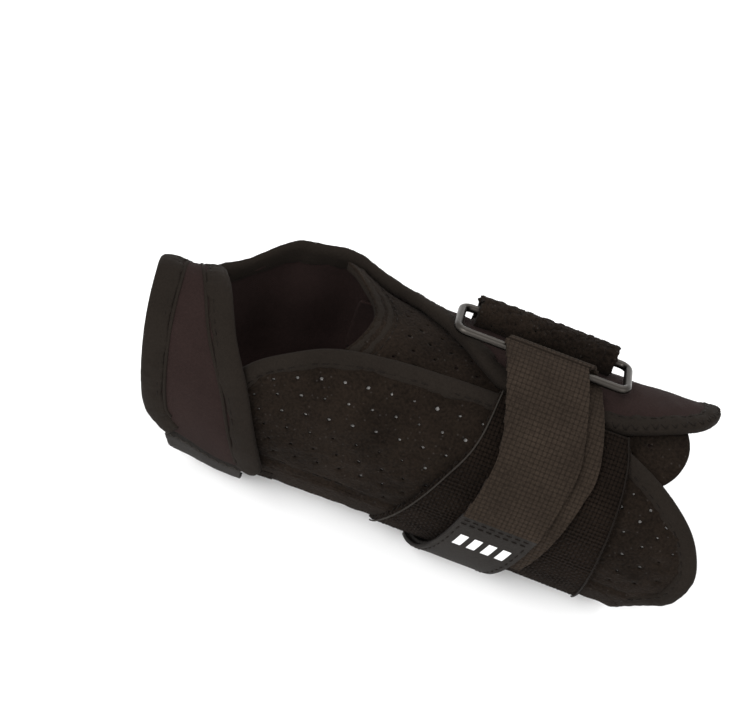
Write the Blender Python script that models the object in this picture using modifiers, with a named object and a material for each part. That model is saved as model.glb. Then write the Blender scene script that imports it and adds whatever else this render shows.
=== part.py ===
"""Left wrist splint, lying on its little-finger side.

+X runs from the fingers to the elbow, -Y is the back of the hand, +Y the palm
and +Z the thumb side.  Every soft layer is a patch wrapped round one limb form:
a point is given by x, by its angle round the limb (0 at the thumb side, positive
towards the back of the hand) and by its depth above the skin.
"""

import math

import bmesh
import bpy
import numpy as np
from mathutils import Matrix

MM = 0.001
ORIGIN_X, ORIGIN_Y = 0.04, 1.82

# Limb form, millimetres: station, half height, half depth, centre offset in Y
STATIONS = (
    (-96.0, 33.5, 13.5, -8.0),
    (-75.0, 34.5, 16.5, -7.0),
    (-55.0, 35.0, 23.0, -4.0),
    (-35.0, 34.0, 27.1, -0.2),
    (0.0, 33.0, 27.3, 0.0),
    (40.0, 33.0, 27.3, 0.0),
    (96.0, 34.0, 27.8, 0.0),
)
CENTRE_HEIGHT = 37.0
SEAT_DEPTH = 7.3
THUMB_PAD = 12.0
THUMB_PAD_X = -55.0
THUMB_PAD_ANGLE = -52.0
THUMB_PAD_LENGTH = 24.0
THUMB_PAD_SPREAD = 25.0
STRAIGHT_HALF_HEIGHT = 33.0
STRAIGHT_HALF_DEPTH = 27.3
ARC_HALF_HEIGHT, ARC_HALF_DEPTH = 37.5, 31.8

# Layer depths above the skin (middle of the layer) and thicknesses, millimetres
TONGUE_DEPTH, TONGUE_THICK = 0.9, 1.8
PANEL_DEPTH, PANEL_THICK = 4.5, 3.0
BINDING_RADIUS = 2.2
TONGUE_ROLL_DEPTH, TONGUE_ROLL_RADIUS = 0.2, 1.6
LINING_DEPTH, LINING_THICK = 0.35, 0.7
STAY_DEPTH, STAY_THICK = 1.5, 1.0
STAY_ANGLES = {"palmar_stay": -90.0, "dorsal_stay": 113.0}
BAND_DEPTH, BAND_THICK = 7.7, 1.2
SEAM_TAPE_DEPTH, SEAM_TAPE_THICK = 6.8, 1.0
UNDER_RUN_DEPTH, UNDER_RUN_THICK = 9.6, 1.4
TAIL_DEPTH, TAIL_THICK = 11.6, 1.4
HOOK_PAD_DEPTH, HOOK_PAD_THICK = 9.2, 1.0
HOOK_TAB_DEPTH, HOOK_TAB_THICK = 10.8, 1.3
WEB_DEPTH, WEB_THICK = 8.9, 2.2
WEB_ROLL_RADIUS = 1.9
WEB_TAB_DEPTH, WEB_TAB_THICK = 9.4, 1.2
WEB_PAD_DEPTH, WEB_PAD_THICK = 8.1, 0.8
LANDING_DEPTH, LANDING_THICK = 6.85, 0.7

# Wire ring
WIRE_RADIUS = 1.6
RING_START, RING_END = -1.9, 53.9
RING_CORNER = 3.0
RING_CORNER_STEPS = 5
REAR_BAR = (-36.0, 10.0)
FRONT_BAR = (-10.0, 10.5)
LOOP_CLEARANCE = 0.3
EDGE_GAP = 0.9
RING_TAB_THICK = 1.6
RING_TAB_START, RING_TAB_END = 1.3, 49.5

# Outlines (x in millimetres, angle in degrees); the real edge of each bound panel
DORSAL_DISTAL = ((-64, 179), (-66, 140), (-65, 100), (-62, 60), (-57, 43))
DORSAL_RADIAL = (
    (-57, 43), (-46, 30), (-33, 21), (-15, 15.5), (1, 13.4),
    (17, 12.5), (50, 12.5), (61, 18), (75, 30), (86, 44),
)
DORSAL_PROXIMAL = (
    (86, 44), (92, 58), (94.4, 72), (92, 90), (86, 100),
    (81, 114), (80, 135), (79, 160), (78, 179),
)
VOLAR_DISTAL = ((-72, -179), (-82, -150), (-91, -125), (-94, -102), (-91.5, -80))
VOLAR_RADIAL = (
    (-91.5, -80), (-84, -68), (-70, -61), (-50, -57), (-30, -52), (-18, -42),
    (0, -14), (12, 4), (22, 10.3), (51, 10.3), (63, 5), (78, -9), (84.5, -22),
)
VOLAR_PROXIMAL = (
    (84.5, -22), (87, -40), (85.5, -65), (82, -90),
    (79, -120), (77, -150), (76, -179),
)
TONGUE_DISTAL = ((-41, -48), (-31, -30), (-27, -12), (-29, 8), (-34, 24), (-41, 42))
TONGUE_PROXIMAL = ((66, -48), (73, -28), (78, -6), (78.5, 12), (74, 28), (62, 42))
BAND_DISTAL = ((17, 12.5), (15, 41), (9, 64), (-2, 104), (-6, 126))
BAND_PROXIMAL = ((59, 12.5), (62, 29), (64, 54), (65.5, 102), (66, 126))
TAIL_LEFT = ((13.5, -8), (21.6, 31.5), (22.5, 50.6), (20, 73), (12.5, 115), (7, 144))
TAIL_RIGHT = ((40.5, -8), (47, 31.5), (46.5, 50.6), (44.5, 73), (37, 115), (31.5, 144))
UNDER_LEFT = ((19, -8), (27.5, 31.5), (28, 50.6), (25.5, 73), (21, 100))
UNDER_RIGHT = ((46.5, -8), (53, 31.5), (52, 50.6), (49, 73), (44, 100))
WEB_FRONT = (
    (-92.5, -52), (-94.2, -30), (-94.5, -12), (-93.5, 10),
    (-91, 48), (-86, 88), (-80, 101), (-75, 107),
)
WEB_REAR = (
    (-76, -52), (-74.8, -25), (-72.5, -5), (-65, 30),
    (-54, 60), (-44.5, 96), (-45, 107),
)
WEB_START_ANGLE, WEB_SEWN_ANGLE = -50.0, 105.0
WEB_HINGE_ANGLE = -51.8
WEB_TAB_START, WEB_TAB_END = 107.5, 139.0
WEB_ROOT_LEFT = ((-92.2, -54), (-91, -63), (-88.5, -69))
WEB_ROOT_RIGHT = ((-76.2, -54), (-75, -63), (-73.5, -69))
WEB_DIP, WEB_DIP_START, WEB_DIP_LENGTH = 7.2, 35.0, 85.0

MATERIALS = {}

ARC_ANGLES = np.linspace(-220.0, 220.0, 881)
ARC_STEPS = np.hypot(
    ARC_HALF_DEPTH * np.cos(np.radians(ARC_ANGLES[:-1] + 0.25)),
    ARC_HALF_HEIGHT * np.sin(np.radians(ARC_ANGLES[:-1] + 0.25)),
) * math.radians(0.5)
ARC_LENGTHS = np.concatenate([[0.0], np.cumsum(ARC_STEPS)])
ARC_LENGTHS -= np.interp(0.0, ARC_ANGLES, ARC_LENGTHS)


def clear_scene():
    for item in list(bpy.data.objects):
        bpy.data.objects.remove(item, do_unlink=True)
    for group in list(bpy.data.collections):
        bpy.data.collections.remove(group)


def smooth_between(x, column):
    """Value of one column of the limb table, eased between its stations."""
    if x <= STATIONS[0][0]:
        return STATIONS[0][column]
    for low, high in zip(STATIONS, STATIONS[1:]):
        if x <= high[0]:
            t = (x - low[0]) / (high[0] - low[0])
            t = t * t * (3 - 2 * t)
            return low[column] + (high[column] - low[column]) * t
    return STATIONS[-1][column]


def limb_point(x, angle, depth, thumb_pad=THUMB_PAD):
    """Point above the skin, in metres."""
    thumb = thumb_pad * math.exp(
        -(((x - THUMB_PAD_X) / THUMB_PAD_LENGTH) ** 2)
        - ((angle - THUMB_PAD_ANGLE) / THUMB_PAD_SPREAD) ** 2
    )
    a = smooth_between(x, 1) + thumb + depth
    b = smooth_between(x, 2) + thumb + depth
    turn = math.radians(angle)
    y = smooth_between(x, 3) - b * math.sin(turn)
    z = max(CENTRE_HEIGHT + a * math.cos(turn), SEAT_DEPTH - depth)
    return (x * MM, y * MM, z * MM)


def web_point(x, angle, depth):
    """Point of the thumb-web strap, which dips into the web and ignores the ball of the thumb."""
    dip = WEB_DIP * ease((WEB_DIP_START - angle) / WEB_DIP_LENGTH)
    return limb_point(x, angle, depth - dip, 0.0)


def straight_point(x, angle, depth):
    """Point above a straight sleeve of constant section, in metres."""
    turn = math.radians(angle)
    y = -(STRAIGHT_HALF_DEPTH + depth) * math.sin(turn)
    z = CENTRE_HEIGHT + (STRAIGHT_HALF_HEIGHT + depth) * math.cos(turn)
    return (x * MM, y * MM, z * MM)


def arc_of(angle):
    """Length round the limb, in millimetres, at an angle from the thumb side."""
    return float(np.interp(angle, ARC_ANGLES, ARC_LENGTHS))


def angle_of(arc):
    return float(np.interp(arc, ARC_LENGTHS, ARC_ANGLES))


def arc_points(outline):
    return [(float(x), arc_of(a)) for x, a in outline]


def resample(points, count):
    """Points at equal spacing along a smooth curve through the given ones."""
    pts = np.array(points, float)
    ext = np.vstack([2 * pts[0] - pts[1], pts, 2 * pts[-1] - pts[-2]])
    dense = []
    for i in range(len(pts) - 1):
        p0, p1, p2, p3 = ext[i: i + 4]
        for t in np.linspace(0, 1, 12, endpoint=False):
            dense.append(
                0.5 * (2 * p1 + (p2 - p0) * t + (2 * p0 - 5 * p1 + 4 * p2 - p3) * t * t
                       + (3 * p1 - p0 - 3 * p2 + p3) * t ** 3)
            )
    dense.append(pts[-1])
    dense = np.array(dense)
    run = np.concatenate([[0], np.cumsum(np.linalg.norm(np.diff(dense, axis=0), axis=1))])
    want = np.linspace(0, run[-1], count)
    return np.stack([np.interp(want, run, dense[:, k]) for k in range(2)], axis=1)


def inset(points, distance, inside):
    """Curve moved towards the inside point by a distance, in arc millimetres."""
    pts = np.array(points, float)
    along = np.gradient(pts, axis=0)
    along /= np.linalg.norm(along, axis=1)[:, None]
    side = np.stack([-along[:, 1], along[:, 0]], axis=1)
    middle = pts[len(pts) // 2]
    if np.dot(side[len(pts) // 2], np.array(inside) - middle) < 0:
        side = -side
    return pts + side * distance


def colour_material(name, colour, roughness, metallic=0.0):
    if name not in MATERIALS:
        made = bpy.data.materials.new(name)
        made.use_nodes = True
        shader = made.node_tree.nodes["Principled BSDF"]
        shader.inputs["Base Color"].default_value = (*colour, 1.0)
        shader.inputs["Roughness"].default_value = roughness
        shader.inputs["Metallic"].default_value = metallic
        MATERIALS[name] = made
    return MATERIALS[name]


SMOOTH = ("smooth_knit", (0.045, 0.037, 0.034), 0.75, 0.0)
BRUSHED = ("brushed_pile", (0.040, 0.033, 0.030), 0.95, 0.0)
BOUND = ("binding_tape", (0.036, 0.033, 0.031), 0.65, 0.0)
WOVEN = ("woven_elastic", (0.055, 0.047, 0.042), 0.80, 0.0)
HOOKED = ("hook_tape", (0.065, 0.062, 0.060), 0.60, 0.0)
NICKEL = ("nickel_wire", (0.62, 0.62, 0.62), 0.28, 1.0)
STAY_METAL = ("stay_aluminium", (0.75, 0.76, 0.77), 0.35, 1.0)


def keep(item, name, look):
    item.name = name
    item.data.name = name
    item.data.materials.clear()
    item.data.materials.append(colour_material(*look))
    group = bpy.data.collections.new(name)
    bpy.context.scene.collection.children.link(group)
    for old in list(item.users_collection):
        old.objects.unlink(item)
    group.objects.link(item)
    return item


def in_frame(point):
    """Limb-centred point moved so the origin is under the middle of the splint."""
    return (point[0] + ORIGIN_X * MM, point[1] + ORIGIN_Y * MM, point[2])


def hang(name, point, pieces):
    """Empty on a joint axis, made the parent of the pieces that move about it."""
    pivot = bpy.data.objects.new(name, None)
    pivot.empty_display_size = 0.01
    pivot.location = in_frame(point)
    bpy.context.scene.collection.objects.link(pivot)
    for piece in pieces:
        item = bpy.data.objects[piece]
        item.parent = pivot
        item.matrix_parent_inverse = Matrix.Translation(pivot.location).inverted()


def wrapped_grid(rows, columns, place):
    """Grid sheet whose vertex at (u, v) is moved to place(u, v)."""
    mesh = bpy.data.meshes.new("sheet")
    work = bmesh.new()
    bmesh.ops.create_grid(work, x_segments=rows, y_segments=columns, size=0.5)
    for vert in work.verts:
        vert.co = in_frame(place(vert.co.x + 0.5, vert.co.y + 0.5))
    work.to_mesh(mesh)
    work.free()
    return bpy.data.objects.new("sheet", mesh)


def solid(item, thickness):
    wall = item.modifiers.new("wall", "SOLIDIFY")
    wall.thickness = thickness * MM
    wall.offset = 0.0
    wall.use_even_offset = True
    return item


def lerp_curve(curve, t):
    at = t * (len(curve) - 1)
    i = min(int(at), len(curve) - 2)
    return curve[i] + (curve[i + 1] - curve[i]) * (at - i)


def four_sided(name, look, sides, depth, thick, rows, columns, shape=limb_point):
    """Patch bounded by four curves: (low, high, left, right) in arc millimetres."""
    low, high, left, right = sides

    def place(u, v):
        flat = (
            (1 - v) * lerp_curve(low, u) + v * lerp_curve(high, u)
            + (1 - u) * lerp_curve(left, v) + u * lerp_curve(right, v)
            - (1 - u) * (1 - v) * low[0] - u * (1 - v) * low[-1]
            - (1 - u) * v * high[0] - u * v * high[-1]
        )
        angle = angle_of(flat[1])
        here = depth(angle) if callable(depth) else depth
        return shape(flat[0], angle, here)

    return keep(solid(wrapped_grid(rows, columns, place), thick), name, look)


def strip(name, look, left, right, depth, thick, rows, columns, shape=limb_point):
    """Patch between two edges that both run round the limb."""
    low = resample(arc_points(left), 40)
    high = resample(arc_points(right), 40)
    left_end = np.linspace(low[0], high[0], 10)
    right_end = np.linspace(low[-1], high[-1], 10)
    return four_sided(name, look, (low, high, left_end, right_end), depth, thick, rows, columns, shape)


def tube(name, look, points, radius, closed=False):
    """Round bead along a path of points in metres."""
    curve = bpy.data.curves.new(name, "CURVE")
    curve.dimensions = "3D"
    curve.bevel_depth = radius * MM
    curve.bevel_resolution = 2
    curve.use_fill_caps = True
    line = curve.splines.new("POLY")
    line.points.add(len(points) - 1)
    for spot, point in zip(line.points, points):
        spot.co = (*in_frame(point), 1.0)
    line.use_cyclic_u = closed
    return keep(bpy.data.objects.new(name, curve), name, look)


def edge_bead(name, look, curve, depth, radius, shape=limb_point):
    points = [shape(x, angle_of(s), depth) for x, s in curve]
    return tube(name, look, points, radius)


def bound_panel(name, look, distal, radial, proximal, seam_angle, inside, rows, columns):
    """Panel with an open seam edge and a bead along its other three edges."""
    inner = 2 * BINDING_RADIUS + EDGE_GAP
    whole = list(distal) + list(radial[1:]) + list(proximal[1:])
    rim = resample(arc_points(whole), 181)
    corners = []
    for corner in (distal[-1], radial[-1]):
        gap = np.linalg.norm(rim - np.array(arc_points([corner])[0]), axis=1)
        corners.append(int(np.argmin(gap)))
    moved = inset(rim, inner, inside)
    seam = arc_of(seam_angle)
    moved[0][1] = seam
    moved[-1][1] = seam
    left = resample(moved[: corners[0] + 1: 3], 30)
    top = resample(np.vstack([moved[corners[0]: corners[1]: 3], moved[corners[1]]]), 60)
    right = resample(np.vstack([moved[corners[1]:: 3], moved[-1]])[::-1], 30)
    bottom = np.linspace(moved[0], moved[-1], 60)
    left[-1] = top[0]
    right[-1] = top[-1]
    left[0] = bottom[0]
    right[0] = bottom[-1]
    four_sided(name, look, (bottom, top, left, right), PANEL_DEPTH, PANEL_THICK, rows, columns)
    bead = resample(inset(rim, BINDING_RADIUS, inside)[::2], 100)
    edge_bead(name + "_binding", BOUND, bead, PANEL_DEPTH, BINDING_RADIUS)


def build_panels():
    bound_panel("dorsal_panel", BRUSHED, DORSAL_DISTAL, DORSAL_RADIAL, DORSAL_PROXIMAL,
                179.2, (10.0, 70.0), 34, 18)
    bound_panel("volar_panel", SMOOTH, VOLAR_DISTAL, VOLAR_RADIAL, VOLAR_PROXIMAL,
                -179.2, (10.0, -70.0), 36, 18)


def build_tongue():
    left = resample(arc_points(TONGUE_DISTAL), 30)
    right = resample(arc_points(TONGUE_PROXIMAL), 30)
    body = inset(left, TONGUE_ROLL_RADIUS * 2 + EDGE_GAP, (20.0, 0.0))
    low = np.linspace(body[0], right[0], 20)
    high = np.linspace(body[-1], right[-1], 20)
    four_sided("thumb_tongue", SMOOTH, (low, high, body, right), TONGUE_DEPTH, TONGUE_THICK, 20, 14)
    roll = inset(left, TONGUE_ROLL_RADIUS, (20.0, 0.0))
    edge_bead("thumb_hole_roll", BOUND, roll[::2], TONGUE_ROLL_DEPTH, TONGUE_ROLL_RADIUS)


def build_stays():
    for name, reach, start, end in (
        ("palmar_stay", 18.0, -30.0, 76.0),
        ("dorsal_stay", 11.0, -45.0, 74.0),
    ):
        middle = STAY_ANGLES[name]
        low, high = middle - reach, middle + reach
        strip(name, STAY_METAL, ((start, low), (start, high)), ((end, low), (end, high)),
              STAY_DEPTH, STAY_THICK, 6, 2, straight_point)
        low, high = middle - reach - 6, middle + reach + 6
        strip(name + "_pocket", SMOOTH, ((start - 4, low), (start - 4, high)),
              ((end + 2, low), (end + 2, high)),
              LINING_DEPTH, LINING_THICK, 8, 2, straight_point)


def build_seam_tape():
    strip("ulnar_seam_tape", BOUND, ((-56, 166), (-56, 194)), ((71, 166), (71, 194)),
          SEAM_TAPE_DEPTH, SEAM_TAPE_THICK, 6, 10)


def build_closure():
    strip("closure_band", WOVEN, BAND_DISTAL, BAND_PROXIMAL, BAND_DEPTH, BAND_THICK, 16, 6)


def bar_centre(bar):
    """Height and depth of a ring bar's centre line, at the ring's middle, in metres."""
    point = limb_point(25.0, *bar)
    return np.array(point[1:])


def build_ring():
    rear, front = bar_centre(REAR_BAR), bar_centre(FRONT_BAR)
    across = float(np.linalg.norm(front - rear)) / MM
    way = (front - rear) / np.linalg.norm(front - rear)
    corners = (
        (RING_START, 0.0, 180), (RING_END, 0.0, 270),
        (RING_END, across, 0), (RING_START, across, 90),
    )
    points = []
    for x, t, begin in corners:
        centre_x = x + RING_CORNER if x == RING_START else x - RING_CORNER
        centre_t = t + RING_CORNER if t == 0.0 else t - RING_CORNER
        for step in range(RING_CORNER_STEPS + 1):
            turn = math.radians(begin + 90.0 * step / RING_CORNER_STEPS)
            px = centre_x + RING_CORNER * math.cos(turn)
            pt = centre_t + RING_CORNER * math.sin(turn)
            spot = rear + way * pt * MM
            points.append((px * MM, spot[0], spot[1]))
    tube("strap_ring", NICKEL, points, WIRE_RADIUS, closed=True)


def section_sheet(name, look, profile, left, right, thick, columns):
    """Sheet that follows a profile of (y, z) points, between two x edges in millimetres."""
    count = len(profile)

    def place(u, v):
        i = min(int(round(u * (count - 1))), count - 1)
        t = i / (count - 1)
        x0 = left[0] + (left[1] - left[0]) * t
        x1 = right[0] + (right[1] - right[0]) * t
        return ((x0 + (x1 - x0) * v) * MM, profile[i][0], profile[i][1])

    return keep(solid(wrapped_grid(count - 1, columns, place), thick), name, look)


def loop_arc(bar, radius, begin, end, steps):
    """Arc round a bar in the cross-section; 0 is towards +Y, 90 towards +Z."""
    centre = bar_centre(bar)
    spots = []
    for step in range(steps + 1):
        turn = math.radians(begin + (end - begin) * step / steps)
        spots.append((centre[0] + radius * MM * math.cos(turn), centre[1] + radius * MM * math.sin(turn)))
    return spots


def build_ring_tab():
    radius = WIRE_RADIUS + LOOP_CLEARANCE + RING_TAB_THICK / 2
    profile = []
    for angle, depth in ((-60, 7.2), (-54, 7.2), (-48, 7.2)):
        profile.append(limb_point(25.0, angle, depth)[1:])
    profile += loop_arc(REAR_BAR, radius, 236, 60, 10)
    for angle, depth in ((-46, 11.6), (-53, 10.0), (-60, 9.5), (-67, 9.0), (-76, 7.9),
                         (-86, 7.5), (-96, 7.5), (-106, 7.5), (-116, 7.5), (-126, 7.5), (-135, 7.5)):
        profile.append(limb_point(25.0, angle, depth)[1:])
    section_sheet("ring_tab", WOVEN, profile, (RING_TAB_START, RING_TAB_START),
                  (RING_TAB_END, RING_TAB_END), RING_TAB_THICK, 3)


def build_strap():
    radius = WIRE_RADIUS + LOOP_CLEARANCE + TAIL_THICK / 2

    def under_depth(angle):
        return UNDER_RUN_DEPTH - 1.3 * ease((14.0 - angle) / 18.0)

    def tail_depth(angle):
        return TAIL_DEPTH + 1.7 * ease((26.0 - angle) / 30.0)

    strip("strap_under_run", WOVEN, UNDER_LEFT, UNDER_RIGHT, under_depth, UNDER_RUN_THICK, 18, 4)
    sewn = 73.0
    strip("strap_tail", WOVEN, edge_between(TAIL_LEFT, -8, sewn), edge_between(TAIL_RIGHT, -8, sewn),
          tail_depth, TAIL_THICK, 16, 4)
    strip("strap_hook_tab", HOOKED, edge_between(TAIL_LEFT, sewn + 1.2, 144),
          edge_between(TAIL_RIGHT, sewn + 1.2, 144), HOOK_TAB_DEPTH + 0.4, HOOK_TAB_THICK, 14, 4)
    strip("strap_hook_pad", HOOKED, trimmed(TAIL_LEFT, 104, 141, 1.5),
          trimmed(TAIL_RIGHT, 104, 141, -1.5), HOOK_PAD_DEPTH + 0.3, HOOK_PAD_THICK, 8, 4)
    profile = loop_arc(FRONT_BAR, radius, -98, 76, 9)
    section_sheet("strap_fold", WOVEN, profile, (18.8, 14.0), (46.4, 41.0), TAIL_THICK, 3)


def ease(t):
    t = min(1.0, max(0.0, t))
    return t * t * (3 - 2 * t)


def edge_between(outline, low, high):
    angles = [a for _, a in outline]
    xs = [x for x, _ in outline]
    inner = [(x, a) for x, a in outline if low < a < high]
    first = (float(np.interp(low, angles, xs)), low)
    last = (float(np.interp(high, angles, xs)), high)
    return [first] + inner + [last]


def trimmed(outline, low, high, shift):
    return [(x + shift, a) for x, a in edge_between(outline, low, high)]


def build_web_strap():
    gap = 2 * WEB_ROLL_RADIUS + EDGE_GAP
    front = edge_between(WEB_FRONT, WEB_START_ANGLE, WEB_SEWN_ANGLE)
    rear = edge_between(WEB_REAR, WEB_START_ANGLE, WEB_SEWN_ANGLE)
    front_curve = resample(arc_points(front), 40)
    rear_curve = resample(arc_points(rear), 40)
    low = inset(front_curve, gap, (-75.0, 10.0))
    high = inset(rear_curve, gap, (-80.0, 10.0))
    ends = (np.linspace(low[0], high[0], 8), np.linspace(low[-1], high[-1], 8))
    four_sided("web_strap", SMOOTH, (low, high, *ends), WEB_DEPTH, WEB_THICK, 20, 6, web_point)
    strip("web_strap_root", SMOOTH, WEB_ROOT_LEFT, WEB_ROOT_RIGHT, WEB_DEPTH, WEB_THICK, 6, 4, web_point)
    for name, curve, inside in (
        ("web_strap_front_binding", front_curve, (-75.0, 10.0)),
        ("web_strap_rear_binding", rear_curve, (-80.0, 10.0)),
    ):
        bead = inset(curve, WEB_ROLL_RADIUS, inside)
        edge_bead(name, BOUND, resample(bead[::3], 24), WEB_DEPTH, WEB_ROLL_RADIUS, web_point)
    left = ((-77, WEB_TAB_START), (-74, WEB_TAB_END))
    right = ((-50, WEB_TAB_START), (-50, WEB_TAB_END))
    strip("web_strap_hook_tab", HOOKED, left, right, WEB_TAB_DEPTH, WEB_TAB_THICK, 8, 4)
    left = ((-72, 112), (-70.5, 137))
    right = ((-52, 112), (-52, 137))
    strip("web_strap_hook_pad", HOOKED, left, right, WEB_PAD_DEPTH, WEB_PAD_THICK, 6, 4)
    left = ((-57.5, 108), (-57.5, 140))
    right = ((-40, 108), (-40, 140))
    strip("web_strap_landing", BRUSHED, left, right, LANDING_DEPTH, LANDING_THICK, 8, 4)


def hang_moving_pieces():
    hang("ring_pivot", limb_point(25.0, *REAR_BAR), ["strap_ring"])
    hang("strap_pivot", limb_point(25.0, *FRONT_BAR),
         ["strap_tail", "strap_fold", "strap_hook_tab", "strap_hook_pad"])
    hang("web_strap_pivot", web_point(-84.0, WEB_HINGE_ANGLE, WEB_DEPTH),
         ["web_strap", "web_strap_front_binding", "web_strap_rear_binding",
          "web_strap_hook_tab", "web_strap_hook_pad"])
    for name, middle in STAY_ANGLES.items():
        hang(name + "_pivot", straight_point(0.0, middle, STAY_DEPTH), [name])


clear_scene()
build_panels()
build_tongue()
build_stays()
build_seam_tape()
build_closure()
build_ring()
build_ring_tab()
build_strap()
build_web_strap()
hang_moving_pieces()
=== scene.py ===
import math
import random

import bpy
import numpy as np
from mathutils import Matrix, Vector


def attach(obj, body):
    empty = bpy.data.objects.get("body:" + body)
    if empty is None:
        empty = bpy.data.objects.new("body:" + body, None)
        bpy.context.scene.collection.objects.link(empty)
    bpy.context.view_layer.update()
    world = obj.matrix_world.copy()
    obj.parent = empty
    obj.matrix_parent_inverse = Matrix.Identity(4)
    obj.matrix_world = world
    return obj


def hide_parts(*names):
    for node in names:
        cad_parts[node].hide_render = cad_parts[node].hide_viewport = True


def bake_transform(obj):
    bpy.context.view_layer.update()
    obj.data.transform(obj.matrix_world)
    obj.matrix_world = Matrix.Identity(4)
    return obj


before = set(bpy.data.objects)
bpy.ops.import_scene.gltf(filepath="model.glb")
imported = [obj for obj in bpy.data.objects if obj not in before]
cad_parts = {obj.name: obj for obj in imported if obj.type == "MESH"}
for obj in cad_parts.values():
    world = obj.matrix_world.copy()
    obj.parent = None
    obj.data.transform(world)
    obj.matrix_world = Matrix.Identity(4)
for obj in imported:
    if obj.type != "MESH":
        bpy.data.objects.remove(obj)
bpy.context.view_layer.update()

MM = 0.001
ORIGIN_X, ORIGIN_Y = 0.04, 1.82

# ---------------------------------------------------------------- limb form, as in the CAD
STATIONS = np.array([
    (-96.0, 33.5, 13.5, -8.0),
    (-75.0, 34.5, 16.5, -7.0),
    (-55.0, 35.0, 23.0, -4.0),
    (-35.0, 34.0, 27.1, -0.2),
    (0.0, 33.0, 27.3, 0.0),
    (40.0, 33.0, 27.3, 0.0),
    (96.0, 34.0, 27.8, 0.0),
])
CENTRE_HEIGHT, SEAT_DEPTH = 37.0, 7.3
THUMB_PAD, THUMB_PAD_X, THUMB_PAD_ANGLE = 12.0, -55.0, -52.0
THUMB_PAD_LENGTH, THUMB_PAD_SPREAD = 24.0, 25.0
STRAIGHT_HALF_HEIGHT, STRAIGHT_HALF_DEPTH = 33.0, 27.3
WEB_DIP, WEB_DIP_START, WEB_DIP_LENGTH = 7.2, 35.0, 85.0

# Lengths round the limb, on one reference ellipse for every layer
ARC_HALF_HEIGHT, ARC_HALF_DEPTH = 37.5, 31.8
ARC_ANGLES = np.linspace(-220.0, 220.0, 881)
ARC_STEPS = np.hypot(
    ARC_HALF_DEPTH * np.cos(np.radians(ARC_ANGLES[:-1] + 0.25)),
    ARC_HALF_HEIGHT * np.sin(np.radians(ARC_ANGLES[:-1] + 0.25)),
) * math.radians(0.5)
ARC_LENGTHS = np.concatenate([[0.0], np.cumsum(ARC_STEPS)])
ARC_LENGTHS -= np.interp(0.0, ARC_ANGLES, ARC_LENGTHS)

DORSAL_DISTAL = ((-64, 179), (-66, 140), (-65, 100), (-62, 60), (-57, 43))
DORSAL_RADIAL = (
    (-57, 43), (-46, 30), (-33, 21), (-15, 15.5), (1, 13.4),
    (17, 12.5), (50, 12.5), (61, 18), (75, 30), (86, 44),
)
DORSAL_PROXIMAL = (
    (86, 44), (92, 58), (94.4, 72), (92, 90), (86, 100),
    (81, 114), (80, 135), (79, 160), (78, 179),
)
VOLAR_DISTAL = ((-72, -179), (-82, -150), (-91, -125), (-94, -102), (-91.5, -80))
VOLAR_RADIAL = (
    (-91.5, -80), (-84, -68), (-70, -61), (-50, -57), (-30, -52), (-18, -42),
    (0, -14), (12, 4), (22, 10.3), (51, 10.3), (63, 5), (78, -9), (84.5, -22),
)
VOLAR_PROXIMAL = (
    (84.5, -22), (87, -40), (85.5, -65), (82, -90),
    (79, -120), (77, -150), (76, -179),
)
TONGUE_DISTAL = ((-41, -48), (-31, -30), (-27, -12), (-29, 8), (-34, 24), (-41, 42))
TONGUE_PROXIMAL = ((66, -48), (73, -28), (78, -6), (78.5, 12), (74, 28), (62, 42))
BAND_DISTAL = ((17, 12.5), (15, 41), (9, 64), (-2, 104), (-6, 126))
BAND_PROXIMAL = ((59, 12.5), (62, 29), (64, 54), (65.5, 102), (66, 126))
TAIL_LEFT = ((13.5, -8), (21.6, 31.5), (22.5, 50.6), (20, 73), (12.5, 115), (7, 144))
TAIL_RIGHT = ((40.5, -8), (47, 31.5), (46.5, 50.6), (44.5, 73), (37, 115), (31.5, 144))
UNDER_LEFT = ((19, -8), (27.5, 31.5), (28, 50.6), (25.5, 73), (21, 100))
UNDER_RIGHT = ((46.5, -8), (53, 31.5), (52, 50.6), (49, 73), (44, 100))
WEB_FRONT = (
    (-92.5, -52), (-94.2, -30), (-94.5, -12), (-93.5, 10),
    (-91, 48), (-86, 88), (-80, 101), (-75, 107),
)
WEB_REAR = (
    (-76, -52), (-74.8, -25), (-72.5, -5), (-65, 30),
    (-54, 60), (-44.5, 96), (-45, 107),
)
WEB_SEAM = (-50, 105)
WEB_TAB_LEFT = ((-78.5, 102.5), (-77, 108), (-74, 139))
WEB_TAB_RIGHT = ((-50, 102.5), (-50, 108), (-50, 139))
WEB_PAD_LEFT, WEB_PAD_RIGHT = ((-72, 112), (-70.5, 137)), ((-52, 112), (-52, 137))
WEB_ROOT_LEFT = ((-91.4, -46.5), (-91.8, -54), (-91, -63), (-88.5, -69.5))
WEB_ROOT_RIGHT = ((-77.2, -46.5), (-76.6, -54), (-75, -63), (-73.5, -69.5))
LANDING_LEFT, LANDING_RIGHT = ((-57.5, 108), (-57.5, 140)), ((-40, 108), (-40, 140))
DORSAL_INSIDE, VOLAR_INSIDE, TONGUE_INSIDE = (10.0, 70.0), (10.0, -70.0), (20.0, 0.0)
WEB_FRONT_INSIDE, WEB_REAR_INSIDE = (-75.0, 10.0), (-80.0, 10.0)

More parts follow.
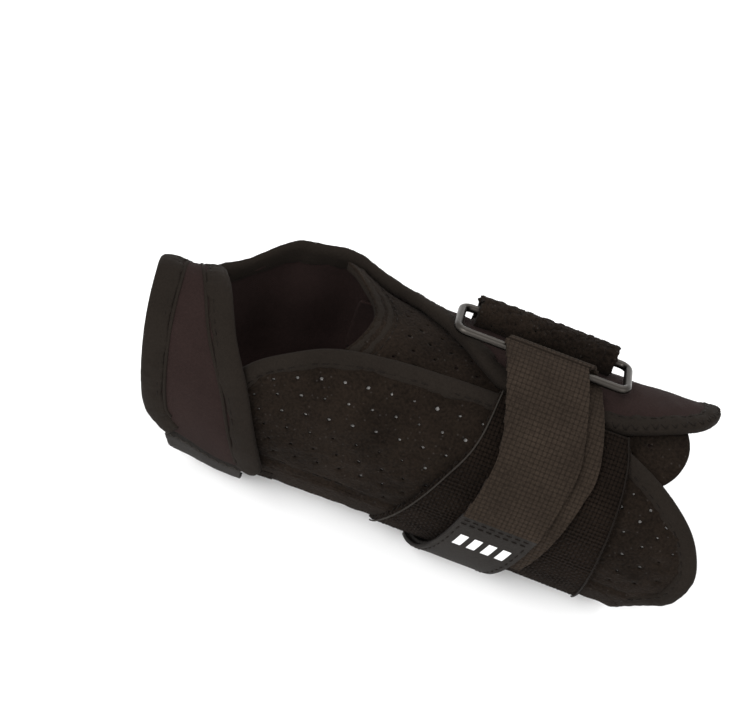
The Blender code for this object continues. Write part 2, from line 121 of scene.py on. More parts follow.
REAR_BAR, FRONT_BAR = (-36.0, 10.0), (-10.0, 10.5)
WIRE_RADIUS, LOOP_CLEARANCE = 1.6, 0.3
RING_START, RING_END, RING_CORNER = -1.9, 53.9, 3.0
STAY_SEAM_UPPER, STAY_SEAM_LOWER = 96.0, 130.5
STAYS = (
    ("palmar_stay", -90.0, 18.0, -30.0, 76.0),
    ("dorsal_stay", 113.0, 11.0, -45.0, 74.0),
)
STAY_BOW, POCKET_BOW, POCKET_MARGIN = 4.95, 1.2, 6.0
UNDER_RUN_DEPTH, TAIL_DEPTH = 9.6, 11.6
TAIL_TOP_LEFT, TAIL_TOP_RIGHT = (13.2, -10.2), (40.3, -10.2)
TAB_START, TAB_END = 73, 144
HOOK_PAD_START, HOOK_PAD_END, HOOK_PAD_MARGIN = 104, 141, 1.5
BAR_START, BAR_END, BAR_WIDTH, BAR_STEP, BAR_MARGIN = 84.5, 92.5, 2.7, 4.7, 4.0
CORD_PITCH_X, CORD_PITCH_S, CORD_HEIGHT = 1.5, 1.25, 0.22
HOLE_RADIUS = 0.55
SHELL = "splint_shell"


def limb(x, angle, depth, thumb_pad=THUMB_PAD):
    """Points above the skin, as an array of metres in the part's frame."""
    x, angle, depth = np.broadcast_arrays(*(np.asarray(v, float) for v in (x, angle, depth)))
    at = np.clip(np.searchsorted(STATIONS[:, 0], x) - 1, 0, len(STATIONS) - 2)
    low, high = STATIONS[at], STATIONS[at + 1]
    t = np.clip((x - low[..., 0]) / (high[..., 0] - low[..., 0]), 0, 1)
    t = t * t * (3 - 2 * t)
    a, b, c = (low[..., k] + (high[..., k] - low[..., k]) * t for k in (1, 2, 3))
    thumb = thumb_pad * np.exp(
        -(((x - THUMB_PAD_X) / THUMB_PAD_LENGTH) ** 2)
        - ((angle - THUMB_PAD_ANGLE) / THUMB_PAD_SPREAD) ** 2
    )
    turn = np.radians(angle)
    y = c - (b + thumb + depth) * np.sin(turn)
    z = np.maximum(CENTRE_HEIGHT + (a + thumb + depth) * np.cos(turn), SEAT_DEPTH - depth)
    return np.stack([(x + ORIGIN_X) * MM, (y + ORIGIN_Y) * MM, z * MM], axis=-1)


def web_limb(x, angle, depth):
    """Points of the thumb-web strap, which dips into the web between thumb and hand."""
    t = np.clip((WEB_DIP_START - np.asarray(angle)) / WEB_DIP_LENGTH, 0, 1)
    return limb(x, angle, depth - WEB_DIP * t * t * (3 - 2 * t), 0.0)


def arc_of(angle):
    return np.interp(angle, ARC_ANGLES, ARC_LENGTHS)


def angle_of(arc):
    return np.interp(arc, ARC_LENGTHS, ARC_ANGLES)


def on_arc(outline):
    return np.array([(x, arc_of(a)) for x, a in outline], float)


def resample(points, count):
    """Points at equal spacing along a smooth curve through the given ones."""
    pts = np.asarray(points, float)
    ext = np.vstack([2 * pts[0] - pts[1], pts, 2 * pts[-1] - pts[-2]])
    dense = []
    for i in range(len(pts) - 1):
        p0, p1, p2, p3 = ext[i: i + 4]
        for t in np.linspace(0, 1, 12, endpoint=False):
            dense.append(
                0.5 * (2 * p1 + (p2 - p0) * t + (2 * p0 - 5 * p1 + 4 * p2 - p3) * t * t
                       + (3 * p1 - p0 - 3 * p2 + p3) * t ** 3)
            )
    dense.append(pts[-1])
    dense = np.array(dense)
    run = np.concatenate([[0], np.cumsum(np.linalg.norm(np.diff(dense, axis=0), axis=1))])
    want = np.linspace(0, run[-1], count)
    return np.stack([np.interp(want, run, dense[:, k]) for k in range(dense.shape[1])], axis=1)


def length_of(curve):
    return float(np.linalg.norm(np.diff(np.asarray(curve), axis=0), axis=1).sum())


def inward(curve, inside):
    """Unit side directions of a curve, pointing to the side where the inside point lies."""
    along = np.gradient(curve, axis=0)
    along /= np.linalg.norm(along, axis=1)[:, None]
    side = np.stack([-along[:, 1], along[:, 0]], axis=1)
    k = len(curve) // 2
    return -side if np.dot(side[k], np.array(inside) - curve[k]) < 0 else side


def x_at(outline, angle):
    """Where along the limb an outline crosses an angle."""
    return np.interp(angle, [a for _, a in outline], [x for x, _ in outline])


def edge_between(outline, low, high):
    inner = [(x, a) for x, a in outline if low < a < high]
    return [(float(x_at(outline, low)), low)] + inner + [(float(x_at(outline, high)), high)]


def coons(low, high, left, right, nu, nv):
    """Grid of flat points between four curves."""
    low, high = resample(low, nu + 1), resample(high, nu + 1)
    left, right = resample(left, nv + 1), resample(right, nv + 1)
    u = np.linspace(0, 1, nu + 1)[:, None, None]
    v = np.linspace(0, 1, nv + 1)[None, :, None]
    return (
        (1 - v) * low[:, None] + v * high[:, None] + (1 - u) * left[None] + u * right[None]
        - (1 - u) * (1 - v) * low[0] - u * (1 - v) * low[-1]
        - (1 - u) * v * high[0] - u * v * high[-1]
    )


def ripple(x, s, scale, seed, count=9):
    """Smooth noise about -1..1 made of waves in seeded directions."""
    draw = random.Random(seed)
    total = np.zeros(np.broadcast(x, s).shape)
    for _ in range(count):
        way = draw.uniform(0, 2 * math.pi)
        k = 2 * math.pi / (scale * draw.uniform(0.6, 1.6))
        total = total + np.sin(k * (np.cos(way) * x + np.sin(way) * s) + draw.uniform(0, 6.28))
    return total / math.sqrt(count)


def grain(shape, seed):
    return np.random.default_rng(seed).uniform(-1, 1, shape)


def ramp(v, low, high):
    t = np.clip((v - low) / (high - low), 0, 1)
    return t * t * (3 - 2 * t)


def ridge(v, middle, half):
    return np.exp(-((v - middle) / half) ** 2)


# ---------------------------------------------------------------- materials
def add_node(tree, kind, inputs=(), **settings):
    """Shader node with its settings and the values of its inputs."""
    made = tree.nodes.new("ShaderNode" + kind)
    for name, value in settings.items():
        setattr(made, name, value)
    for name, value in dict(inputs).items():
        made.inputs[name].default_value = value
    return made


def uneven_dye(tree, place, fine, colour, vary):
    """Colour that wanders between a darker and a lighter shade, in broad and in fine spots."""
    broad = add_node(tree, "TexNoise", {"Scale": 60, "Detail": 6})
    tree.links.new(place, broad.inputs["Vector"])
    half = add_node(tree, "Math", {1: 0.45}, operation="MULTIPLY")
    tree.links.new(broad.outputs["Fac"], half.inputs[0])
    both = add_node(tree, "Math", {1: 0.55}, operation="MULTIPLY_ADD")
    tree.links.new(fine.outputs["Fac"], both.inputs[0])
    tree.links.new(half.outputs[0], both.inputs[2])
    spread = add_node(tree, "MapRange", {"From Min": 0.32, "From Max": 0.68})
    tree.links.new(both.outputs[0], spread.inputs["Value"])
    dark = (*[c * (1 - vary) for c in colour], 1)
    light = (*[min(1, c * (1 + vary)) for c in colour], 1)
    shades = add_node(tree, "Mix", {"A": dark, "B": light}, data_type="RGBA")
    tree.links.new(spread.outputs[0], shades.inputs["Factor"])
    return shades.outputs["Result"]


def stray_fibres(tree, place, colour_out, amount):
    """Small light dots of lint over a colour."""
    dots = add_node(tree, "TexVoronoi", {"Scale": 420})
    tree.links.new(place, dots.inputs["Vector"])
    cut = add_node(tree, "MapRange", {"From Min": 0.16, "From Max": 0.05, "To Max": amount})
    tree.links.new(dots.outputs["Distance"], cut.inputs["Value"])
    lint = add_node(tree, "Mix", {"B": (0.30, 0.28, 0.27, 1)}, data_type="RGBA")
    tree.links.new(colour_out, lint.inputs["A"])
    tree.links.new(cut.outputs[0], lint.inputs["Factor"])
    return lint.outputs["Result"]


def woven_ribs(tree, weave):
    """Height of ribs that cross at the two pitches, in the flat millimetres of the sheet."""
    split = add_node(tree, "SeparateXYZ")
    tree.links.new(add_node(tree, "UVMap").outputs["UV"], split.inputs[0])
    crossed = add_node(tree, "Math", operation="MULTIPLY")
    for k, (axis, pitch) in enumerate(zip("XY", weave)):
        times = add_node(tree, "Math", {1: 2 * math.pi / pitch}, operation="MULTIPLY")
        tree.links.new(split.outputs[axis], times.inputs[0])
        wave = add_node(tree, "Math", operation="SINE")
        tree.links.new(times.outputs[0], wave.inputs[0])
        tree.links.new(wave.outputs[0], crossed.inputs[k])
    return crossed.outputs[0]


def painted_groove_shade(tree, ribs, colour_out, colour, groove_shade):
    """Painted shade: darkens a colour where the ribs are low, as the shade in the grooves between the ribs.
    """
    height = add_node(tree, "Math", operation="ABSOLUTE")
    tree.links.new(ribs, height.inputs[0])
    depth = add_node(tree, "MapRange", {"From Max": 0.30})
    tree.links.new(height.outputs[0], depth.inputs["Value"])
    dark = (*[c * (1 - groove_shade) for c in colour], 1)
    shade = add_node(tree, "Mix", {"A": dark}, data_type="RGBA")
    tree.links.new(colour_out, shade.inputs["B"])
    tree.links.new(depth.outputs[0], shade.inputs["Factor"])
    return shade.outputs["Result"]


def fabric(name, colour, weave, weave_bump, fuzz, fuzz_scale, rough, sheen, vary, speck=0.0, groove_shade=0.0):
    """Cloth with woven ribs, a fuzzy nap, uneven dye, stray light fibres and, where asked, painted shade in
    the rib grooves.
    """
    made = bpy.data.materials.new(name)
    made.use_nodes = True
    tree = made.node_tree
    shader = tree.nodes["Principled BSDF"]
    shader.inputs["Roughness"].default_value = rough
    shader.inputs["Sheen Weight"].default_value = sheen
    shader.inputs["Sheen Roughness"].default_value = 0.55
    shader.inputs["Sheen Tint"].default_value = (0.9, 0.82, 0.78, 1)
    shader.inputs["Specular IOR Level"].default_value = 0.03
    place = add_node(tree, "TexCoord").outputs["Object"]
    fine = add_node(tree, "TexNoise", {"Scale": fuzz_scale, "Detail": 5})
    tree.links.new(place, fine.inputs["Vector"])
    nap = add_node(tree, "Bump", {"Strength": max(fuzz, 0.05), "Distance": 0.0006})
    tree.links.new(fine.outputs["Fac"], nap.inputs["Height"])
    tree.links.new(nap.outputs["Normal"], shader.inputs["Normal"])
    colour_out = uneven_dye(tree, place, fine, colour, vary)
    if speck:
        colour_out = stray_fibres(tree, place, colour_out, speck)
    if weave_bump:
        ribs = woven_ribs(tree, weave)
        bump = add_node(tree, "Bump", {"Strength": weave_bump, "Distance": 0.0002})
        tree.links.new(ribs, bump.inputs["Height"])
        tree.links.new(bump.outputs["Normal"], nap.inputs["Normal"])
        # Painted shade in the grooves between the ribs.
        if groove_shade:
            colour_out = painted_groove_shade(tree, ribs, colour_out, colour, groove_shade)
    tree.links.new(colour_out, shader.inputs["Base Color"])
    return made


KNIT = fabric("knit_look", (0.0175, 0.0108, 0.0098), (0.62, 0.62), 0.35, 0.22, 1500, 0.85, 0.01, 0.22)
PILE = fabric("pile_look", (0.0092, 0.0064, 0.0046), (0, 0), 0, 0.9, 1100, 0.95, 0.02, 0.6, 0.05)
# LOOPS and WEBBING get painted shade in the grooves between their ribs.
LOOPS = fabric("loop_look", (0.0085, 0.0058, 0.0042), (2.3, 2.6), 0.8, 0.7, 1300, 0.95, 0.02, 0.5,
               groove_shade=0.85)
BINDING = fabric("binding_look", (0.0125, 0.0098, 0.0078), (0.5, 0.9), 0.30, 0.18, 1600, 0.8, 0.01, 0.22)
WEBBING = fabric("webbing_look", (0.0235, 0.0172, 0.0128), (2.9, 2.5), 0.7, 0.5, 1300, 0.85, 0.01, 0.45,
                 groove_shade=0.5)
HOOK = fabric("hook_look", (0.0200, 0.0180, 0.0165), (0.7, 0.7), 0.3, 0.35, 1400, 0.7, 0.01, 0.25)
THREAD = fabric("thread_look", (0.0080, 0.0062, 0.0050), (0.5, 0.5), 0.1, 0.2, 2500, 0.6, 0.02, 0.2)
PALE_THREAD = fabric("pale_thread_look", (0.024, 0.021, 0.018), (0.5, 0.5), 0.1, 0.2, 2500, 0.6, 0.02, 0.3)
CORE = fabric("core_look", (0.30, 0.29, 0.28), (0.5, 0.5), 0.3, 0.5, 1500, 0.9, 0.0, 0.6)
PRINT = fabric("print_look", (0.80, 0.80, 0.80), (0.7, 0.7), 0.15, 0.1, 1500, 0.6, 0.0, 0.05)


def metal(name, colour, rough):
    """Metal with fine uneven wear."""
    made = bpy.data.materials.new(name)
    made.use_nodes = True
    tree = made.node_tree
    shader = tree.nodes["Principled BSDF"]
    shader.inputs["Base Color"].default_value = (*colour, 1)
    shader.inputs["Metallic"].default_value = 1.0
    wear = add_node(tree, "TexNoise", {"Scale": 500, "Detail": 6})
    tree.links.new(add_node(tree, "TexCoord").outputs["Object"], wear.inputs["Vector"])
    spread = add_node(tree, "MapRange", {"To Min": rough * 0.75, "To Max": rough * 1.35})
    tree.links.new(wear.outputs["Fac"], spread.inputs["Value"])
    tree.links.new(spread.outputs[0], shader.inputs["Roughness"])
    bump = add_node(tree, "Bump", {"Strength": 0.06, "Distance": 0.0002})
    tree.links.new(wear.outputs["Fac"], bump.inputs["Height"])
    tree.links.new(bump.outputs["Normal"], shader.inputs["Normal"])
    return made


NICKEL = metal("nickel_look", (0.052, 0.047, 0.042), 0.36)
STAY = metal("stay_look", (0.72, 0.73, 0.74), 0.4)


# ---------------------------------------------------------------- mesh makers
def finish_mesh(name, verts, faces, uvs, material, body, nodes=()):
    """Smooth mesh object on a body; a piece without a body is left free of any body."""
    mesh = bpy.data.meshes.new(name)
    mesh.from_pydata([tuple(v) for v in verts], [], [tuple(f) for f in faces])
    layer = mesh.uv_layers.new(name="flat")
    index = np.empty(len(mesh.loops), np.int32)
    mesh.loops.foreach_get("vertex_index", index)
    layer.data.foreach_set("uv", np.asarray(uvs, np.float32)[index].ravel())
    mesh.polygons.foreach_set("use_smooth", [True] * len(mesh.polygons))
    mesh.materials.append(material)
    item = bpy.data.objects.new(name, mesh)
    bpy.context.scene.collection.objects.link(item)
    if body:
        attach(item, body)
    if nodes:
        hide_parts(*nodes)
    return item


def grid_faces(n, m, flip):
    i, j = np.meshgrid(np.arange(n - 1), np.arange(m - 1), indexing="ij")
    a = (i * m + j).ravel()
    quad = np.stack([a, a + m, a + m + 1, a + 1], axis=1)
    return quad[:, ::-1] if flip else quad


def faces_out(points, n, m, outward):
    """Whether a grid's faces have to be flipped to point along outward."""
    p = points.reshape(n, m, 3)
    i, j = n // 2, m // 2
    normal = np.cross(p[i + 1, j] - p[i, j], p[i, j + 1] - p[i, j])
    return float(np.dot(normal, outward)) < 0


def open_hole(flat, i, j, radius):
    """Moves the eight points round a grid point onto a circle about it."""
    centre = flat[i, j].copy()
    for a in (-1, 0, 1):
        for b in (-1, 0, 1):
            if a or b:
                way = flat[i + a, j + b] - centre
                flat[i + a, j + b] = centre + way / np.linalg.norm(way) * radius


def sheet_look(name, flat, depth, thick, material, body, nodes=(), holes=(), shape=limb):
    """Sheet whose outer face lies at a depth over the flat grid, closed to a thickness."""
    n, m = flat.shape[:2]
    flat = flat.copy()
    keep = np.ones(n * m, bool)
    gone = np.zeros((n - 1, m - 1), bool)
    draw = random.Random(n * m)
    for i, j in holes:
        open_hole(flat, i, j, HOLE_RADIUS * draw.uniform(0.7, 1.2))
        gone[i - 1: i + 1, j - 1: j + 1] = True
        keep[i * m + j] = False
    points = shape(flat[..., 0], angle_of(flat[..., 1]), depth).reshape(-1, 3)
    centre = points[(n // 2) * m + m // 2]
    out = centre - np.array([centre[0], ORIGIN_Y * MM, CENTRE_HEIGHT * MM])
    faces = grid_faces(n, m, faces_out(points, n, m, out))[~gone.ravel()]
    renumber = np.cumsum(keep) - 1
    item = finish_mesh(name, points[keep], renumber[faces], flat.reshape(-1, 2)[keep], material,
                       body, nodes)
    close(item, thick)
    return item


def close(item, thick):
    """Gives a sheet its thickness, inwards from its outer face."""
    wall = item.modifiers.new("wall", "SOLIDIFY")
    wall.thickness = thick * MM
    wall.offset = -1.0


def capped(n, k):
    """Faces of a tube of n rings of k points, with two caps."""
    i, j = np.meshgrid(np.arange(n - 1), np.arange(k), indexing="ij")
    a, b = (i * k + j).ravel(), (i * k + (j + 1) % k).ravel()
    faces = [tuple(f) for f in np.stack([a, b, b + k, a + k], axis=1)]
    faces.append(tuple(range(k - 1, -1, -1)))
    faces.append(tuple((n - 1) * k + q for q in range(k)))
    return faces


def roll_look(name, rim, inside, body, nodes=(), middle=3.0, half_width=3.0, depth=4.5,
              half_thick=2.2, material=None, seed=1, pucker=0.10,
              crease=0.0, spacing=0.8, exponent=0.75, shape=limb):
    """Folded binding that follows a rim: a flattened roll with small puckers."""
    rim = resample(rim, max(20, int(length_of(rim) / spacing)))
    side = inward(rim, inside)
    n, k = len(rim), 26
    turn = np.linspace(0, 2 * math.pi, k, endpoint=False)
    c, s = np.cos(turn), np.sin(turn)
    p = middle - half_width * np.sign(c) * np.abs(c) ** exponent
    q = half_thick * np.sign(s) * np.abs(s) ** exponent
    run = np.arange(n)[:, None] * spacing
    wave = 1 + 0.05 * ripple(run, 0 * run, 14, seed) + 0.03 * ripple(run, 0 * run, 4, seed + 5)
    wrinkle = pucker * ripple(run + 0.6 * p[None], 3 * p[None], 3.2, seed + 9)
    flat_x = rim[:, 0:1] + side[:, 0:1] * p[None] * wave
    flat_s = rim[:, 1:2] + side[:, 1:2] * p[None] * wave
    deep = depth + q[None] * wave + wrinkle * np.sign(s)[None]
    if crease:
        deep = deep - crease * np.maximum(s, 0)[None] * ridge(p, middle + half_width * 0.55, 0.7)[None]
    points = shape(flat_x, angle_of(flat_s), deep).reshape(-1, 3)
    uv = np.stack([np.broadcast_to(run, (n, k)), np.broadcast_to(turn * half_width, (n, k))], -1)
    faces = capped(n, k)
    mid = (n // 2) * k
    ring = points[mid: mid + k]
    normal = np.cross(points[mid + 1] - points[mid], points[mid + k] - points[mid])
    if np.dot(normal, points[mid] - ring.mean(0)) < 0:
        faces = [f[::-1] for f in faces]
    finish_mesh(name, points, faces, uv.reshape(-1, 2), material or BINDING, body, nodes)


def stitches_look(name, curve, depth, body, material=None, length=2.3,
                  gap=1.1, radius=0.24, zigzag=0.0, shape=limb):
    """Row of sewn stitches, each a small rounded thread lying on the cloth."""
    total = length_of(curve)
    count = max(3, int(total / (length + gap)))
    fine = resample(curve, count * 8 + 1)
    along = np.gradient(fine, axis=0)
    along /= np.linalg.norm(along, axis=1)[:, None]
    side = np.stack([-along[:, 1], along[:, 0]], axis=1)
    verts, faces = [], []
    steps = ((0.0, 0.35), (0.12, 0.85), (0.5, 1.0), (0.88, 0.85), (1.0, 0.35))
    k = 6
    for c in range(count):
        base = len(verts)
        here = fine[c * 8]
        way, across = along[c * 8 + 3], side[c * 8 + 3]
        shift = zigzag if c % 2 else -zigzag
        for t, r in steps:
            sway = across * shift * (2 * t - 1)
            spot = here + way * length * t + sway
            for q in range(k):
                turn = 2 * math.pi * q / k
                flat = spot + across * radius * r * math.cos(turn)
                sunk = 0.30 * radius if t in (0.0, 1.0) else 0.0
                deep = depth + radius * r * math.sin(turn) - sunk
                verts.append((flat[0], flat[1], deep))
        for g in range(len(steps) - 1):
            for q in range(k):
                a, b = base + g * k + q, base + g * k + (q + 1) % k
                faces.append((a, b, b + k, a + k))
        faces.append(tuple(base + q for q in range(k - 1, -1, -1)))
        faces.append(tuple(base + (len(steps) - 1) * k + q for q in range(k)))
    v = np.array(verts)
    points = shape(v[:, 0], angle_of(v[:, 1]), v[:, 2])
    finish_mesh(name, points, faces, v[:, :2], material or THREAD, body)


def pieces_of_rim(distal, radial, proximal):
    """Free edge of a panel as one curve, with the places of its two corners."""
    whole = list(distal) + list(radial[1:]) + list(proximal[1:])
    rim = resample(on_arc(whole), 361)
    spots = []
    for corner in (distal[-1], radial[-1]):
        gap = np.linalg.norm(rim - on_arc([corner])[0], axis=1)
        spots.append(int(np.argmin(gap)))
    return rim, spots


def panel_flat(rim, spots, inside, move, seam, nu, nv):
    """Grid of flat points of a bound panel, its free edge moved in from the rim."""
    moved = rim + inward(rim, inside) * move
    moved[0, 1] = moved[-1, 1] = arc_of(seam)
    left = moved[: spots[0] + 1: 4]
    left = np.vstack([left, moved[spots[0]]])
    top = np.vstack([moved[spots[0]: spots[1]: 5], moved[spots[1]]])
    right = np.vstack([moved[spots[1]:: 4], moved[-1]])[::-1]
    bottom = np.linspace(moved[0], moved[-1], 12)
    clean = []
    for side in (bottom, top, left, right):
        step = np.linalg.norm(np.diff(side, axis=0), axis=1)
        clean.append(side[np.concatenate([[True], step > 1e-3])])
    return coons(*clean, nu, nv)


# ---------------------------------------------------------------- dorsal panel
def pressed_by_strap(x):
    """How far the closing strap presses the soft layers in, in millimetres."""
    return 0.5 * ridge(x, 34, 26)


def build_dorsal():
    rim, spots = pieces_of_rim(DORSAL_DISTAL, DORSAL_RADIAL, DORSAL_PROXIMAL)
    nu, nv = 168, 108
    flat = panel_flat(rim, spots, DORSAL_INSIDE, 3.2, 179.4, nu, nv)
    x, s = flat[..., 0], flat[..., 1]
    angle = angle_of(s)
    soft = 0.30 * ripple(x, s, 26, 3) + 0.18 * ripple(x, s, 9, 4)
    pocket = ramp(angle, 96.5, 99) * (1 - ramp(angle, 127, 130)) * (1 - ramp(x, 78, 81)) * ramp(x, -49, -45)
    sewn = 0.55 * ridge(angle, STAY_SEAM_UPPER, 1.3) * ramp(x, -50, -46)
    sewn = sewn + 0.5 * ridge(angle, STAY_SEAM_LOWER, 1.5)
    base = 5.75 + soft * (1 - ramp(angle, 150, 160)) + 0.75 * pocket - sewn * (1 - ramp(x, 78, 80))
    base = base - pressed_by_strap(x)
    base = np.minimum(base, 6.6)
    base = np.where((x > 6) & (x < 68) & (angle < 128), np.minimum(base, 6.2), base)
    fuzzy = ramp(angle, 60, 80)
    depth = base + grain(x.shape, 7) * (0.05 + 0.10 * fuzzy)
    edge = np.minimum(np.minimum(np.arange(nu + 1)[:, None], nu - np.arange(nu + 1)[:, None]),
                      nv - np.arange(nv + 1)[None, :])
    holes = []
    row = 0
    for j in range(nv - 9, 24, -7):
        row += 1
        for i in range(8 + (row % 2) * 4, nu - 6, 8):
            if edge[i, j] < 7 or angle[i, j] > 92:
                continue
            holes.append((i, j))
    sheet_look("dorsal_panel_face", flat, depth, 0.8, PILE, SHELL,
               ("dorsal_panel",), holes)
    coarse = flat[::3, ::3]
    level = base[::3, ::3]
    sheet_look("dorsal_panel_core", coarse, level - 0.95, 0.5, CORE, SHELL)
    sheet_look("dorsal_panel_inside", coarse, level - 1.6, 1.2, KNIT, SHELL)
    roll_look("dorsal_panel_edge", rim, DORSAL_INSIDE, SHELL, ("dorsal_panel_binding",), 3.0, 3.0,
              4.5, 2.25, seed=11, crease=0.35)
    line = rim + inward(rim, DORSAL_INSIDE) * 4.75
    stitches_look("dorsal_panel_stitching", line[6:-6], 6.25, SHELL)
    for name, at in (("upper", STAY_SEAM_UPPER), ("lower", STAY_SEAM_LOWER)):
        line = np.stack([np.linspace(-47, 78, 60), np.full(60, arc_of(at))], axis=1)
        stitches_look("dorsal_stay_seam_" + name, line, 5.35, SHELL, length=2.6)


def build_stay_cover():
    """Raised pile strip over the dorsal stay, with wavy edges and a pointed end."""
    u = np.linspace(0, 1, 300)[:, None]
    v = np.linspace(0, 1, 60)[None, :]
    x = -46 + 126 * u + 0 * v
    top = arc_of(99.0) + 0.5 * ripple(x, 0 * x, 16, 41) + 7.0 * ramp(u, 0.93, 1.0)
    low = arc_of(128.0) + 0.5 * ripple(x, 0 * x, 11, 42)
    s = top + (low - top) * v
    edge = np.minimum(np.minimum(v, 1 - v) * 18, np.minimum(u, 1 - u) * 90)
    depth = 6.35 + 0.5 * ramp(edge, 0, 1.2) + 0.12 * ripple(x, s, 7, 43) + 0.10 * grain(x.shape, 44)
    depth = np.where((x > 4) & (x < 68), np.minimum(depth, 7.0), depth)
    sheet_look("dorsal_stay_cover", np.stack([x, s], -1), depth, 0.9, PILE, SHELL)


def build_volar():
    rim, spots = pieces_of_rim(VOLAR_DISTAL, VOLAR_RADIAL, VOLAR_PROXIMAL)
    nu, nv = 150, 96
    flat = panel_flat(rim, spots, VOLAR_INSIDE, 3.2, -179.4, nu, nv)
    x, s = flat[..., 0], flat[..., 1]
    angle = angle_of(s)
    soft = 0.28 * ripple(x, s, 30, 13) + 0.12 * ripple(x, s, 10, 14)
    base = 5.7 + soft * (1 - ramp(-angle, 150, 160)) - 0.3 * ridge(x, 27, 28)
    base = np.where((x > -8) & (x < 60), np.minimum(base, 6.0), base)
    pocket = ramp(-angle, 66, 69) * (1 - ramp(-angle, 111, 114))
    base = base + 0.35 * pocket - 0.4 * ridge(-angle, 65, 1.4) - 0.4 * ridge(-angle, 115, 1.4)
    sheet_look("volar_panel_face", flat, base + 0.03 * grain(x.shape, 17), 1.1, KNIT, SHELL,
               ("volar_panel",))
    sheet_look("volar_panel_inside", flat[::3, ::3], base[::3, ::3] - 1.2, 1.4, KNIT, SHELL)
    roll_look("volar_panel_edge", rim, VOLAR_INSIDE, SHELL, ("volar_panel_binding",), 3.0, 3.0,
              4.5, 2.3, seed=21, crease=0.3)
    line = rim + inward(rim, VOLAR_INSIDE) * 4.75
    stitches_look("volar_panel_stitching", line[6:-6], 6.3, SHELL)
    top = rim[(rim[:, 0] > 50) & (angle_of(rim[:, 1]) > -62)]
    top = top + inward(top, VOLAR_INSIDE) * 1.6
    stitches_look("volar_panel_serging", top, 6.45, SHELL, THREAD, length=1.5, gap=0.1, radius=0.45,
                  zigzag=0.9)


def build_tongue():
    left, right = on_arc(TONGUE_DISTAL), on_arc(TONGUE_PROXIMAL)
    low = np.linspace(left[0], right[0], 8)
    high = np.linspace(left[-1], right[-1], 8)
    flat = coons(low, high, left, right, 120, 80)
    x, s = flat[..., 0], flat[..., 1]
    base = 1.75 + 0.12 * ripple(x, s, 24, 31)
    holes = [(i, j) for k, j in enumerate(range(10, 72, 7)) for i in range(14 + 4 * (k % 2), 108, 8)]
    sheet_look("thumb_tongue_face", flat, base + 0.06 * grain(x.shape, 37), 0.7, PILE,
               SHELL, ("thumb_tongue",), holes)
    sheet_look("thumb_tongue_inside", flat[6:-6:3, 6:-6:3], base[6:-6:3, 6:-6:3] - 1.0, 0.7, KNIT,
               SHELL)
    rim = resample(left, 60)
    roll_look("thumb_hole_edge_1", rim, TONGUE_INSIDE, SHELL, ("thumb_hole_roll",), 1.9, 1.75,
              0.4, 1.575, seed=33, pucker=0.12)
    roll_look("thumb_hole_edge_2", rim, TONGUE_INSIDE, SHELL, (), 5.0, 1.2, 1.0, 1.08, seed=34, pucker=0.12)
    stitches_look("thumb_hole_stitching", rim + inward(rim, TONGUE_INSIDE) * 7.2, 1.85, SHELL)


def straight(x, angle, depth):
    """Points above a straight sleeve of constant section, where the stays slide."""
    turn = np.radians(angle)
    y = -(STRAIGHT_HALF_DEPTH + depth) * np.sin(turn)
    z = CENTRE_HEIGHT + (STRAIGHT_HALF_HEIGHT + depth) * np.cos(turn)
    return np.stack([(x + ORIGIN_X) * MM, (y + ORIGIN_Y) * MM, z * MM], axis=-1)


def straight_sheet(name, middle, half, ends, depth, thick, bow, material, body):
    """Sheet on the straight sleeve, with rounded ends."""
    u = np.linspace(0, 1, 121)[:, None]
    v = np.linspace(-1, 1, 33)[None, :]
    drawn_in = bow * (1 - np.sqrt(np.clip(1 - v ** 2, 0, 1)))
    x = (ends[0] + drawn_in) + (ends[1] - ends[0] - 2 * drawn_in) * u
    angle = middle + half * v + 0 * u
    n, m = x.shape
    points = straight(x, angle, depth).reshape(-1, 3)
    out = points[(n // 2) * m + m // 2] - np.array([0, ORIGIN_Y * MM, CENTRE_HEIGHT * MM])
    out[0] = 0
    faces = grid_faces(n, m, faces_out(points, n, m, out))
    uv = np.stack([x, angle * 0.6], -1).reshape(-1, 2)
    item = finish_mesh(name + "_look", points, faces, uv, material, body, (name,))
    close(item, thick)


def build_stays():
    for name, middle, half, start, end in STAYS:
        straight_sheet(name, middle, half, (start, end), 2.0, 1.0, STAY_BOW, STAY, name)
        straight_sheet(name + "_pocket", middle, half + POCKET_MARGIN, (start - 4, end + 2), 0.7, 0.7,
                       POCKET_BOW, KNIT, SHELL)


def build_seam_tape():
    u = np.linspace(-56, 71, 160)
    v = np.linspace(arc_of(166.5), arc_of(193.5), 30)
    flat = np.stack(np.meshgrid(u, v, indexing="ij"), axis=-1)
    sheet_look("ulnar_seam_tape_look", flat, 7.28 + 0 * flat[..., 0], 0.9, BINDING,
               SHELL, ("ulnar_seam_tape",))


# ---------------------------------------------------------------- closure
def strip_flat(left, right, nu, nv):
    """Grid of flat points between two edges that both run round the limb."""
    low, high = resample(on_arc(left), 60), resample(on_arc(right), 60)
    a = np.linspace(low[0], high[0], 6)
    b = np.linspace(low[-1], high[-1], 6)
    return coons(low, high, a, b, nu, nv)


